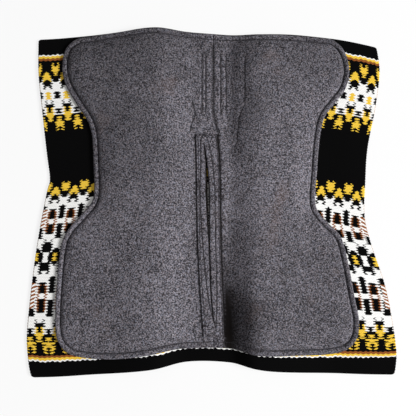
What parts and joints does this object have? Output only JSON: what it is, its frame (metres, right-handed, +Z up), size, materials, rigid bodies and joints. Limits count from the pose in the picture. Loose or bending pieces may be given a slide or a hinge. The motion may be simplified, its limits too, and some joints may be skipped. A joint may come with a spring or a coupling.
{
  "type": "western saddle pad",
  "caption": "Western saddle pad with a woven wool blanket face, contoured felt lining over pressed felt cores, and a stitched spine strip with a vent slit; its sides fold up along the spine.",
  "frame": {"origin": "on the floor, under the middle of the pad's outline, as it lies felt side up", "axes": "+Z up, away from the woven face and towards the horse side; +Y towards the front of the pad, over the withers; +X across the pad, to its right as it lies"},
  "size_m": [0.936, 0.9167, 0.0421],
  "materials": {
    "woven_wool": "matte weft-faced weave in black, white, golden yellow and rust",
    "lining_felt": "matte heathered charcoal felt",
    "core_felt": "matte pressed felt",
    "thread": "dull bonded thread"
  },
  "bodies": {
    "spine": {"blanket_spine_band": "woven_wool", "felt_margin_left": "lining_felt", "felt_margin_right": "lining_felt", "spine_strip": "lining_felt", "strip_stitching": "thread", "vent_stitching": "thread", "vent_tack_1": "thread", "vent_tack_2": "thread", "vent_tack_3": "thread", "vent_tack_4": "thread", "vent_tack_5": "thread", "vent_tack_6": "thread", "vent_tack_7": "thread", "vent_tack_8": "thread", "vent_tack_9": "thread", "wither_stitching_1": "thread", "wither_stitching_2": "thread", "wither_stitching_3": "thread", "wither_stitching_4": "thread", "border_stitching_front": "thread", "border_stitching_rear": "thread"},
    "left_side": {"blanket_left": "woven_wool", "felt_core_left": "core_felt", "felt_panel_left": "lining_felt", "border_stitching_left": "thread"},
    "right_side": {"blanket_right": "woven_wool", "felt_core_right": "core_felt", "felt_panel_right": "lining_felt", "border_stitching_right": "thread"}
  },
  "joints": [
    {"name": "left_fold", "type": "hinge", "parent": "spine", "child": "left_side", "pos_m": [-0.044, 0, 0.0116], "axis": [0, 1, 0], "range_deg": [0, 90]},
    {"name": "right_fold", "type": "hinge", "parent": "spine", "child": "right_side", "pos_m": [0.044, 0, 0.0116], "axis": [0, -1, 0], "range_deg": [0, 90]}
  ]
}
